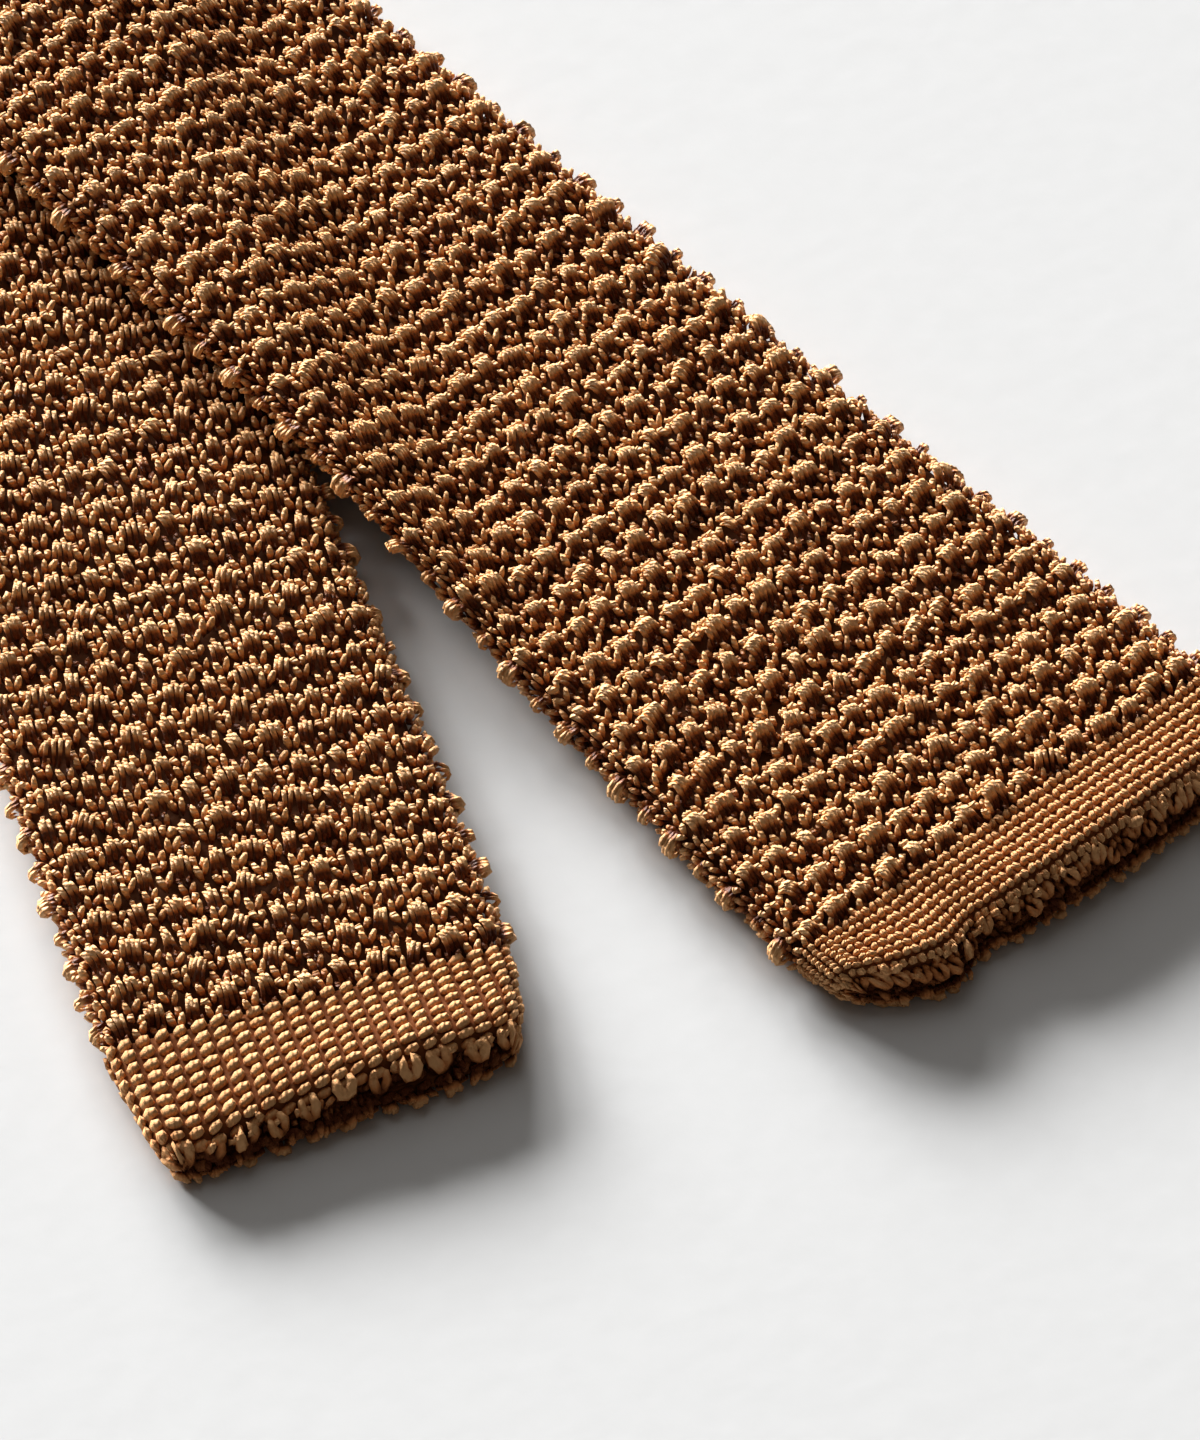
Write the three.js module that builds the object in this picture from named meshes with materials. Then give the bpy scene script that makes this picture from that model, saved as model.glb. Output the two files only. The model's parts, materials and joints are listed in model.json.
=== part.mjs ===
// A knitted silk necktie lying flat in one open loop, its wide front blade crossing over its narrow tail.
// The tie is one long flattened tube of knitted cloth: two layers with a thin slit between them, open at
// both ends. The part's +Y runs from the two ends to the top of the loop, +Z is up, and it lies on z = 0.
import * as THREE from "three";

// Sizes of the cloth, in millimetres
const tieLength = 1470;
const bladeWidth = 61.5;
const tailWidth = 46;
const neckWidth = 28;
const bladeLength = 450; // from the blade's end to where its taper reaches the neck
const tailLength = 370; // the same on the tail
const bladeHem = 11; // plain-knit band at the blade's end
const tailHem = 13;
const wall = 2.1; // one layer of knit
const slit = 0.8; // between the two layers
const pieceGap = 0.3; // between two pieces that meet, and between the blade and the tail under it

// How it is laid, in millimetres and degrees
const crossingAngle = 22.9;
const bladeReach = 217.5; // from the blade's end to the crossing of the centrelines
const tailReach = 204;
const straightPastCrossing = 130;
const flareRadius = 300; // each strand bends outwards before the loop
const loopSideAngle = 22; // of the loop's straight sides to +Y
const drapeWidth = 16; // how far from the tail's edge the blade comes down to the floor

// How fine the faceting is, in millimetres
const bladeStep = 10;
const neckStep = 15;
const tailStep = 14;
const hemStep = 2.2;
const bladeColumn = 8;
const neckColumn = 7;
const hemColumn = 3;
const edgeFacets = 4;

// Width along the blade and the tail: a row's place is a share of the blade's or tail's length, and its
// narrowing a share of the way from that end's width to the neck's.
const bladeTaper = [
  { place: 0, narrowing: 0 },
  { place: 0.04, narrowing: 0 },
  { place: 0.1, narrowing: 0.09 },
  { place: 0.16, narrowing: 0.18 },
  { place: 0.24, narrowing: 0.26 },
  { place: 0.34, narrowing: 0.33 },
  { place: 0.5, narrowing: 0.46 },
  { place: 0.67, narrowing: 0.62 },
  { place: 0.82, narrowing: 0.82 },
  { place: 1, narrowing: 1 },
];
const tailTaper = [
  { place: 0, narrowing: 0 },
  { place: 0.12, narrowing: 0 },
  { place: 0.27, narrowing: 0.1 },
  { place: 0.6, narrowing: 0.22 },
  { place: 0.8, narrowing: 0.6 },
  { place: 1, narrowing: 1 },
];

// The mouth at each end: across runs from -1 to 1 of the half width, from the left edge of one who stands
// at the end and looks along the strand. Reach is how far the layers stick out past the straight end, a
// share of the hem band; under is how much further the lower layer does. Puff lifts the upper layer and
// rise the lower one, shares of the thickness. The blade has a pinched dent between its left corner and
// the rest.
const bladeMouth = [
  { across: -1, reach: -0.6, under: 0.05, puff: 0.08, rise: 0 },
  { across: -0.8, reach: -0.2, under: 0.08, puff: 0.3, rise: 0 },
  { across: -0.6, reach: 0, under: 0.08, puff: 0.36, rise: 0 },
  { across: -0.43, reach: -0.16, under: 0.1, puff: 0, rise: 0 },
  { across: -0.26, reach: -0.06, under: 0.1, puff: 0.36, rise: 0.06 },
  { across: 0.05, reach: 0, under: 0.1, puff: 0.52, rise: 0.16 },
  { across: 0.5, reach: 0, under: 0.1, puff: 0.46, rise: 0.14 },
  { across: 0.85, reach: -0.05, under: 0.08, puff: 0.26, rise: 0.05 },
  { across: 1, reach: -0.3, under: 0.05, puff: 0.08, rise: 0 },
];
const tailMouth = [
  { across: -1, reach: 0.06, under: 0.06, puff: 0.02, rise: 0 },
  { across: -0.8, reach: 0.2, under: 0.08, puff: 0.04, rise: 0 },
  { across: -0.4, reach: 0.1, under: 0.12, puff: 0.12, rise: 0 },
  { across: 0, reach: 0, under: 0.14, puff: 0.24, rise: 0.04 },
  { across: 0.5, reach: -0.08, under: 0.14, puff: 0.3, rise: 0.06 },
  { across: 0.85, reach: -0.14, under: 0.1, puff: 0.18, rise: 0.03 },
  { across: 1, reach: -0.3, under: 0.05, puff: 0.04, rise: 0 },
];
const lipCurl = 0.45; // share of a mouth's puff that the upper layer loses again as its lip curls down
const bladeMouthSqueeze = 0.02; // share of the width that the mouth is drawn in by
const tailMouthSqueeze = 0.06;

const thickness = 2 * wall + slit;
const radians = Math.PI / 180;
const clamp = (value, low, high) => Math.min(Math.max(value, low), high);
const smoothstep = (share) => share * share * (3 - 2 * share);

// A smooth curve through a table's rows: the value of one column where the table's key column equals at.
function readTable(rows, key, column, at) {
  const x = clamp(at, rows[0][key], rows[rows.length - 1][key]);
  const i = clamp(rows.findIndex((row) => row[key] >= x) - 1, 0, rows.length - 2);
  const slope = (j) => {
    const before = rows[Math.max(j - 1, 0)];
    const after = rows[Math.min(j + 1, rows.length - 1)];
    return (after[column] - before[column]) / (after[key] - before[key]);
  };
  const span = rows[i + 1][key] - rows[i][key];
  const t = (x - rows[i][key]) / span;
  const rise = rows[i + 1][column] - rows[i][column];
  const bend = (slope(i) * span - rise) * (1 - t) - (slope(i + 1) * span - rise) * t;
  return rows[i][column] + rise * t + t * (1 - t) * bend;
}

function widthAt(s) {
  const fromTail = tieLength - s;
  if (s < tieLength / 2) {
    const narrowing = readTable(bladeTaper, "place", "narrowing", s / bladeLength);
    return bladeWidth - (bladeWidth - neckWidth) * narrowing;
  }
  const narrowing = readTable(tailTaper, "place", "narrowing", fromTail / tailLength);
  return tailWidth - (tailWidth - neckWidth) * narrowing;
}

// The centreline in plan, with the crossing at (0, 0). A heading is measured left of +Y. Each strand runs
// straight through the crossing, flares outwards, runs straight again as the loop's side and meets the
// loop's round top. The loop's radius and the length of its sides follow from the length left for them.
function layOut() {
  const crossing = (crossingAngle / 2) * radians;
  const side = loopSideAngle * radians;
  const flare = flareRadius * (side - crossing);
  const half = (tieLength - bladeReach - tailReach) / 2;
  const flareOut = flareRadius * (Math.cos(crossing) - Math.cos(side));
  const out = straightPastCrossing * Math.sin(crossing) + flareOut;
  const topTurn = Math.PI / 2 + side;
  const left = half - straightPastCrossing - flare - (topTurn * out) / Math.cos(side);
  const run = left / (1 + topTurn * Math.tan(side));
  const loopRadius = (out + run * Math.sin(side)) / Math.cos(side);
  const stretches = [
    { length: bladeReach + straightPastCrossing, turn: 0 },
    { length: flare, turn: side - crossing },
    { length: run, turn: 0 },
    { length: 2 * topTurn * loopRadius, turn: -2 * topTurn },
    { length: run, turn: 0 },
    { length: flare, turn: side - crossing },
    { length: straightPastCrossing + tailReach, turn: 0 },
  ];
  const start = {
    x: bladeReach * Math.sin(crossing),
    y: -bladeReach * Math.cos(crossing),
    heading: crossing,
  };
  return { start, stretches, flare };
}

const route = layOut();

function alongArc(from, length, turn) {
  const chord = turn === 0 ? length : (2 * Math.sin(turn / 2) * length) / turn;
  const middle = from.heading + turn / 2;
  return {
    x: from.x - Math.sin(middle) * chord,
    y: from.y + Math.cos(middle) * chord,
    heading: from.heading + turn,
  };
}

// The centreline's point and heading at a distance s from the blade's end. The last stretch may be overrun,
// so that a mouth can stick out past it.
function centreAt(s) {
  let place = route.start;
  let left = s;
  for (const [i, stretch] of route.stretches.entries()) {
    const last = i === route.stretches.length - 1;
    if (left <= stretch.length || last) {
      return alongArc(place, left, (stretch.turn * left) / stretch.length);
    }
    place = alongArc(place, stretch.length, stretch.turn);
    left -= stretch.length;
  }
  return place;
}

// Where the tail strand lies, from its flare to its end, for the blade that is draped over it
const stationStep = 4;
const flareEnd = tieLength - tailReach - straightPastCrossing - route.flare;
const tailStations = [];
for (let s = flareEnd; s < tieLength; s += stationStep) {
  tailStations.push({ ...centreAt(s), halfWidth: widthAt(s) / 2 });
}

// How high the blade's underside is lifted at a point of the plan
function drapeLift(x, y) {
  const outside = Math.min(...tailStations.map((t) => Math.hypot(x - t.x, y - t.y) - t.halfWidth));
  return (thickness + pieceGap) * smoothstep(clamp(1 - outside / drapeWidth, 0, 1));
}

// A section of the flattened tube as a ring of { across, height, side }: across from the centreline, height
// above the underside, side -1 for the lower layer, 1 for the upper one and 0 halfway round the folded edge.
// The ring starts at the lower left and runs anticlockwise, seen from the blade's end.
function sectionRing(width, inset, columns) {
  const fold = thickness / 2;
  const flat = width / 2 - fold;
  const radius = fold - inset;
  const ring = [];
  for (let i = 0; i <= columns; i++) {
    ring.push({ across: flat * ((2 * i) / columns - 1), height: fold - radius, side: -1 });
  }
  for (let i = 1; i < edgeFacets; i++) {
    const angle = Math.PI * (i / edgeFacets - 0.5);
    ring.push({
      across: flat + radius * Math.cos(angle),
      height: fold + radius * Math.sin(angle),
      side: Math.sin(angle),
    });
  }
  for (const point of ring.slice()) {
    ring.push({ across: -point.across, height: thickness - point.height, side: -point.side });
  }
  return ring;
}

// A ring placed in the part's frame at distance s. The mouth's table shifts it, more the nearer the open
// end is.
function placedRing(s, inset, columns, mouth) {
  const width = widthAt(s) * (mouth ? 1 - mouth.squeeze * smoothstep(mouth.share(s)) : 1);
  const ownCentre = centreAt(s);
  return sectionRing(width, inset, columns).map(({ across, height, side }) => {
    let centre = ownCentre;
    let z = height;
    if (mouth) {
      const key = (across / (width / 2)) * mouth.leftIsNegative;
      const read = (column) => readTable(mouth.rows, "across", column, key);
      const share = mouth.share(s);
      const opening = smoothstep(share) * (1 - lipCurl * share ** 4);
      const lowerShare = (1 - side) / 2;
      const reach = (read("reach") + read("under") * lowerShare) * mouth.hem * share;
      centre = centreAt(s + reach * mouth.outwards);
      const rise = Math.max(read("rise"), 0);
      z += thickness * opening * (read("puff") * (1 - lowerShare) + rise * lowerShare);
    }
    const x = centre.x + across * Math.cos(centre.heading);
    const y = centre.y + across * Math.sin(centre.heading);
    return [x, y, z + (s < tieLength / 2 ? drapeLift(x, y) : 0)];
  });
}

// A closed solid from s = from to s = to: outer and inner rings joined along the tube, and at each end a
// flat band of faces between them round the slit.
function tubeGeometry({ from, to, step, column, mouth }) {
  const steps = Math.ceil((to - from) / step);
  const columns = Math.round(Math.max(widthAt(from), widthAt(to)) / column);
  const places = Array.from({ length: steps + 1 }, (_, i) => from + ((to - from) * i) / steps);
  const outer = places.map((s) => placedRing(s, 0, columns, mouth));
  const inner = places.map((s) => placedRing(s, wall, columns, mouth));
  const count = outer[0].length;
  const points = [...outer, ...inner].flat();
  const outerIndex = (i, j) => i * count + (j % count);
  const innerIndex = (i, j) => (places.length + i) * count + (j % count);
  const faces = [];
  const quad = (a, b, c, d) => faces.push(a, c, b, a, d, c);
  for (let j = 0; j < count; j++) {
    for (let i = 0; i < steps; i++) {
      quad(outerIndex(i, j), outerIndex(i, j + 1), outerIndex(i + 1, j + 1), outerIndex(i + 1, j));
      quad(innerIndex(i, j), innerIndex(i + 1, j), innerIndex(i + 1, j + 1), innerIndex(i, j + 1));
    }
    quad(outerIndex(0, j), innerIndex(0, j), innerIndex(0, j + 1), outerIndex(0, j + 1));
    const next = j + 1;
    quad(outerIndex(steps, j), outerIndex(steps, next), innerIndex(steps, next), innerIndex(steps, j));
  }
  const geometry = new THREE.BufferGeometry();
  geometry.setAttribute("position", new THREE.Float32BufferAttribute(points.flat(), 3));
  geometry.setIndex(faces);
  geometry.computeVertexNormals();
  return geometry;
}

// The two mouths. Share runs from 0 where the hem band starts to 1 at the open end. Across is positive to
// the right of one who walks from the blade to the tail, so at the tail's end the table's left is turned.
const bladeMouthShape = {
  rows: bladeMouth,
  hem: bladeHem,
  squeeze: bladeMouthSqueeze,
  outwards: -1,
  leftIsNegative: 1,
  share: (s) => clamp((bladeHem - s) / bladeHem, 0, 1),
};
const tailMouthShape = {
  rows: tailMouth,
  hem: tailHem,
  squeeze: tailMouthSqueeze,
  outwards: 1,
  leftIsNegative: -1,
  share: (s) => clamp((s - (tieLength - tailHem)) / tailHem, 0, 1),
};

const halfGap = pieceGap / 2;
const tailStart = tieLength - tailLength;
const tailHemStart = tieLength - tailHem;
const pieces = {
  front_hem_band: {
    from: 0,
    to: bladeHem - halfGap,
    step: hemStep,
    column: hemColumn,
    mouth: bladeMouthShape,
  },
  front_blade: { from: bladeHem + halfGap, to: bladeLength - halfGap, step: bladeStep, column: bladeColumn },
  neck_band: { from: bladeLength + halfGap, to: tailStart - halfGap, step: neckStep, column: neckColumn },
  tail_blade: { from: tailStart + halfGap, to: tailHemStart - halfGap, step: tailStep, column: bladeColumn },
  tail_hem_band: {
    from: tailHemStart + halfGap,
    to: tieLength,
    step: hemStep,
    column: hemColumn,
    mouth: tailMouthShape,
  },
};

const bumpyKnit = { color: 0xb8793f, roughness: 0.55, metalness: 0 };
const plainKnit = { color: 0xc28449, roughness: 0.5, metalness: 0 };

const tie = new THREE.Group();
for (const [name, piece] of Object.entries(pieces)) {
  const finish = piece.mouth ? plainKnit : bumpyKnit;
  const mesh = new THREE.Mesh(tubeGeometry(piece), new THREE.MeshStandardMaterial(finish));
  mesh.name = name;
  tie.add(mesh);
}

// The origin is the middle of the whole tie's footprint, on the surface that it lies on.
const box = new THREE.Box3().setFromObject(tie);
const middle = box.getCenter(new THREE.Vector3());
tie.position.set(-middle.x, -middle.y, -box.min.z);

export default tie;
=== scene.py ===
# %% [markdown]
# # A knitted silk tie, laid on a pale table
# The real thing is one long flattened tube of knitted silk with two square ends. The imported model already
# has the tube's true shape as smooth solids. This notebook dresses it: a smooth cloth shell for each piece,
# thousands of yarn stitches over it, and then the table, the light and the camera.

import json
import math
import time

import bpy
import numpy as np
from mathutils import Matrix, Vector

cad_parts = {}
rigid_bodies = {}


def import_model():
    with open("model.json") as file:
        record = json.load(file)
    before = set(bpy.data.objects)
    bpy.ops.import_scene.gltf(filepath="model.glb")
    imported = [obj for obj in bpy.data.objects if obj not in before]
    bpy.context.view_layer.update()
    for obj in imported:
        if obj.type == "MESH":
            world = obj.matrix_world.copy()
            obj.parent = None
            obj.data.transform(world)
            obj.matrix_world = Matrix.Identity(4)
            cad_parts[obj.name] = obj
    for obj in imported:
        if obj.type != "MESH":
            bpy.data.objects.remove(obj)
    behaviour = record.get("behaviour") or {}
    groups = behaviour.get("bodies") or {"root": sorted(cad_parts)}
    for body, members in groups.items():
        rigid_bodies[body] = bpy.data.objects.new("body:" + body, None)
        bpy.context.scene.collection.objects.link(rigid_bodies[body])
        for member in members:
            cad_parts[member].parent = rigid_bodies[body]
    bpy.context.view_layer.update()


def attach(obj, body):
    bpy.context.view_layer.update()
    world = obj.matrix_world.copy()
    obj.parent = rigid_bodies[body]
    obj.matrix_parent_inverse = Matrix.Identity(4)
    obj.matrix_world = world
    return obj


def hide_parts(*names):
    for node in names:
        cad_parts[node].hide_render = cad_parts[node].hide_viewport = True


began = time.time()
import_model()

# %% [markdown]
# ## The way the tie lies
# Everything on the tie is placed by three numbers: q, how far round the flattened tube it is from the middle
# of the top, s, how far along the tie from the wide end, and h, how far out of the tube's surface. The next
# cells turn those into a place in space. They repeat the rules that the solids were made by: widths, the
# open loop, the drape over the tail and the two puffed mouths. Lengths are in millimetres, and become metres
# only when a mesh is made.

# %% Sizes of the tie
MM = 0.001
TIE_LENGTH, BLADE_LENGTH, TAIL_LENGTH = 1470.0, 450.0, 370.0
BLADE_WIDTH, TAIL_WIDTH, NECK_WIDTH = 61.5, 46.0, 28.0
BLADE_HEM, TAIL_HEM = 11.0, 13.0
WALL, SLIT, PIECE_GAP = 2.1, 0.8, 0.3
THICKNESS = 2 * WALL + SLIT
FOLD = THICKNESS / 2  # radius of the folded edges
CROSSING, LOOP_SIDE = math.radians(22.9 / 2), math.radians(22)
BLADE_REACH, TAIL_REACH, PAST_CROSSING, FLARE_RADIUS = 217.5, 204.0, 130.0, 300.0
DRAPE_WIDTH = 16.0
FOOTPRINT_MIDDLE = (-0.1148, 123.1486)  # of the whole tie, from the crossing of its two strands

# Each row of a taper: place, narrowing, as shares of the way from that end to the neck
BLADE_TAPER = [(0, 0), (0.04, 0), (0.1, 0.09), (0.16, 0.18), (0.24, 0.26), (0.34, 0.33), (0.5, 0.46),
               (0.67, 0.62), (0.82, 0.82), (1, 1)]
TAIL_TAPER = [(0, 0), (0.12, 0), (0.27, 0.1), (0.6, 0.22), (0.8, 0.6), (1, 1)]
# Each row of a mouth: across, reach, under, puff, rise
BLADE_MOUTH = [(-1, -0.6, 0.05, 0.08, 0), (-0.8, -0.2, 0.08, 0.3, 0), (-0.6, 0, 0.08, 0.36, 0),
               (-0.43, -0.16, 0.1, 0, 0), (-0.26, -0.06, 0.1, 0.36, 0.06), (0.05, 0, 0.1, 0.52, 0.16),
               (0.5, 0, 0.1, 0.46, 0.14), (0.85, -0.05, 0.08, 0.26, 0.05), (1, -0.3, 0.05, 0.08, 0)]
TAIL_MOUTH = [(-1, 0.06, 0.06, 0.02, 0), (-0.8, 0.2, 0.08, 0.04, 0), (-0.4, 0.1, 0.12, 0.12, 0),
              (0, 0, 0.14, 0.24, 0.04), (0.5, -0.08, 0.14, 0.3, 0.06), (0.85, -0.14, 0.1, 0.18, 0.03),
              (1, -0.3, 0.05, 0.04, 0)]
LIP_CURL, BLADE_SQUEEZE, TAIL_SQUEEZE = 0.45, 0.02, 0.06


# %% Smooth curves through the tables
def smoothstep(share):
    share = np.clip(share, 0, 1)
    return share * share * (3 - 2 * share)


def curve_through(rows, column, at):
    """A smooth curve through a table's rows: the value of one column where the first column equals at."""
    table = np.array(rows, float)
    keys, values = table[:, 0], table[:, column]
    last = len(keys) - 1
    before = np.maximum(np.arange(last + 1) - 1, 0)
    after = np.minimum(np.arange(last + 1) + 1, last)
    slope = (values[after] - values[before]) / (keys[after] - keys[before])
    x = np.clip(at, keys[0], keys[-1])
    i = np.clip(np.searchsorted(keys, x) - 1, 0, last - 1)
    span, rise = keys[i + 1] - keys[i], values[i + 1] - values[i]
    t = (x - keys[i]) / span
    bend = (slope[i] * span - rise) * (1 - t) - (slope[i + 1] * span - rise) * t
    return values[i] + rise * t + t * (1 - t) * bend


def width_at(s):
    """The flat width of the tie."""
    blade_narrowing = curve_through(BLADE_TAPER, 1, s / BLADE_LENGTH)
    tail_narrowing = curve_through(TAIL_TAPER, 1, (TIE_LENGTH - s) / TAIL_LENGTH)
    blade = BLADE_WIDTH - (BLADE_WIDTH - NECK_WIDTH) * blade_narrowing
    tail = TAIL_WIDTH - (TAIL_WIDTH - NECK_WIDTH) * tail_narrowing
    return np.where(s < TIE_LENGTH / 2, blade, tail)


measured = width_at(np.array([0, BLADE_REACH, TIE_LENGTH / 2]))
print("width at the blade's end, the crossing and the neck:", measured.round(1))


# %% The centreline, laid as an open loop
def lay_out():
    """The stretches of the centreline: each one's start along the tie, length, turn, place and heading."""
    flare = FLARE_RADIUS * (LOOP_SIDE - CROSSING)
    half = (TIE_LENGTH - BLADE_REACH - TAIL_REACH) / 2
    flare_out = FLARE_RADIUS * (math.cos(CROSSING) - math.cos(LOOP_SIDE))
    out = PAST_CROSSING * math.sin(CROSSING) + flare_out
    top_turn = math.pi / 2 + LOOP_SIDE
    left = half - PAST_CROSSING - flare - top_turn * out / math.cos(LOOP_SIDE)
    run = left / (1 + top_turn * math.tan(LOOP_SIDE))
    radius = (out + run * math.sin(LOOP_SIDE)) / math.cos(LOOP_SIDE)
    lengths = [BLADE_REACH + PAST_CROSSING, flare, run, 2 * top_turn * radius, run, flare,
               PAST_CROSSING + TAIL_REACH]
    turns = [0, LOOP_SIDE - CROSSING, 0, -2 * top_turn, 0, LOOP_SIDE - CROSSING, 0]
    place = (BLADE_REACH * math.sin(CROSSING), -BLADE_REACH * math.cos(CROSSING), CROSSING)
    rows, start = [], 0.0
    for length, turn in zip(lengths, turns):
        rows.append((start, length, turn, *place))
        middle, chord = place[2] + turn / 2, length * np.sinc(turn / 2 / math.pi)
        place = (place[0] - math.sin(middle) * chord, place[1] + math.cos(middle) * chord, place[2] + turn)
        start += length
    return np.array(rows)


ROUTE = lay_out()


def centre_at(s):
    """The centreline's x, y and heading, left of +Y, at distances s from the blade's end."""
    row = ROUTE[np.clip(np.searchsorted(ROUTE[:, 0], s, side="right") - 1, 0, len(ROUTE) - 1)]
    gone = s - row[..., 0]
    turn = row[..., 2] * gone / row[..., 1]
    middle, chord = row[..., 5] + turn / 2, gone * np.sinc(turn / 2 / math.pi)
    return row[..., 3] - np.sin(middle) * chord, row[..., 4] + np.cos(middle) * chord, row[..., 5] + turn


# Places along the tail from which the blade's distance is measured
STATION_STEP = 4.0
STATIONS = np.arange(TIE_LENGTH - TAIL_REACH - PAST_CROSSING - ROUTE[1, 1], TIE_LENGTH, STATION_STEP)
STATION_X, STATION_Y, _ = centre_at(STATIONS)
STATION_HALF = width_at(STATIONS) / 2
DRAPE_REACH = 330.0  # from the crossing; no lift is looked for beyond this
POINTS_AT_ONCE = 20000


def drape_lift(x, y):
    """How high the blade is lifted by the tail under it."""
    lift = np.zeros(len(x))
    near = np.flatnonzero(np.hypot(x, y) < DRAPE_REACH)
    for part in np.array_split(near, max(1, len(near) // POINTS_AT_ONCE)):
        away = np.hypot(x[part, None] - STATION_X, y[part, None] - STATION_Y) - STATION_HALF
        lift[part] = (THICKNESS + PIECE_GAP) * smoothstep(1 - away.min(axis=1) / DRAPE_WIDTH)
    return lift


print("loop radius:", round(-ROUTE[3, 1] / ROUTE[3, 2], 1), "mm")

# %% From the chart to space
# The last cloth at each mouth rolls over: the lower layer tightly, the upper one widely
LOWER_LIP_RADIUS, UPPER_LIP_RADIUS = 1.2, 2.5
ROLL_START = 0.95  # how far from the end the roll starts, a share of the lip's radius
# Stitches on the underside are pressed flat: their height there is a share of the height less this much
PRESSED_FROM, PRESSED_SHARE, PRESSED_TOP = 0.9, 0.45, -0.05
PRESSED_LIMIT = -1.95  # what lies deeper than this is inside the tube and isn't pressed
TABLE_CLEARANCE = 0.02


def half_round(s):
    """Half the way round the flattened tube, on the outer surface."""
    return 2 * (width_at(s) / 2 - FOLD) + math.pi * FOLD


def on_tie(q, s, h, lip=True):
    """From the chart to space, in millimetres: q round the tube, s along it and h out of its surface."""
    q, s, h = (np.asarray(v, float) for v in (q, s, h))
    at_blade = s < TIE_LENGTH / 2
    from_end = np.where(at_blade, s, TIE_LENGTH - s)
    half_width = width_at(np.clip(s, 0, TIE_LENGTH)) / 2
    angle = np.clip(np.abs(q) - half_width + FOLD, 0, math.pi * FOLD) / FOLD
    bend = LOWER_LIP_RADIUS + (UPPER_LIP_RADIUS - LOWER_LIP_RADIUS) * (1 + np.cos(angle)) / 2
    roll = np.maximum(bend * ROLL_START - from_end, 0) / bend * (1.0 if lip else 0.0)
    flat_end = np.where(roll > 0, bend * ROLL_START - (bend + h) * np.sin(roll), from_end)
    h = h * np.cos(roll) - bend * (1 - np.cos(roll))
    s = np.where(at_blade, flat_end, TIE_LENGTH - flat_end)
    hem = np.where(at_blade, BLADE_HEM, TAIL_HEM)
    share = np.clip((hem - flat_end) / hem, 0, 1)
    squeeze = np.where(at_blade, BLADE_SQUEEZE, TAIL_SQUEEZE)
    width = width_at(np.clip(s, 0, TIE_LENGTH)) * (1 - squeeze * smoothstep(share))
    flat = width / 2 - FOLD
    over = np.clip(np.abs(q) - flat, 0, math.pi * FOLD)
    angle = over / FOLD
    under = np.maximum(np.abs(q) - flat - math.pi * FOLD, 0)
    side = np.cos(angle)
    pressed = smoothstep(-side) * np.cos(np.minimum(roll, math.pi / 2))
    pressed_h = np.minimum((h - PRESSED_FROM) * PRESSED_SHARE, PRESSED_TOP)
    h = h + pressed * (pressed_h - h) * (h > PRESSED_LIMIT)
    radius = FOLD + h
    across = np.where(over > 0, flat + radius * np.sin(angle) - under, np.abs(q)) * np.sign(q)
    z = FOLD + radius * side
    key = np.clip(across / (width / 2), -1, 1)
    lower = (1 - side) / 2
    shift = np.zeros((3, len(q)))
    for mouth, turned, picked in ((BLADE_MOUTH, 1, at_blade), (TAIL_MOUTH, -1, ~at_blade)):
        rows = np.flatnonzero(picked & (share > 0))
        k = key[rows] * turned
        shift[0, rows] = curve_through(mouth, 1, k) + curve_through(mouth, 2, k) * lower[rows]
        shift[1, rows] = curve_through(mouth, 3, k)
        shift[2, rows] = np.maximum(curve_through(mouth, 4, k), 0)
    opening = smoothstep(share) * (1 - LIP_CURL * share**4)
    s = s + shift[0] * hem * share * np.where(at_blade, -1, 1)
    z = z + THICKNESS * opening * (shift[1] * (1 - lower) + shift[2] * lower)
    x0, y0, heading = centre_at(s)
    x, y = x0 + across * np.cos(heading), y0 + across * np.sin(heading)
    z = np.maximum(z, TABLE_CLEARANCE) + np.where(at_blade, drape_lift(x, y), 0)
    return np.column_stack([x - FOOTPRINT_MIDDLE[0], y - FOOTPRINT_MIDDLE[1], z])


print("middle of the blade's top, 60 mm up:", on_tie([0], [60.0], [0])[0].round(1))

# %% [markdown]
# ## Yarn, as small closed strands
# The knit is made of a few shapes of yarn, each repeated hundreds of times or more. A grain is one leg of a
# stitch seen from above, and an ear is a leg that stands up at one end. A wrap is one of the threads bundled
# over a tuck stitch, a lobe is half a stitch of the plain bands, and a loop is a thick stitch of the last
# row. Each is a tube of three to six sides round a short path, closed at both tips.


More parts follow.
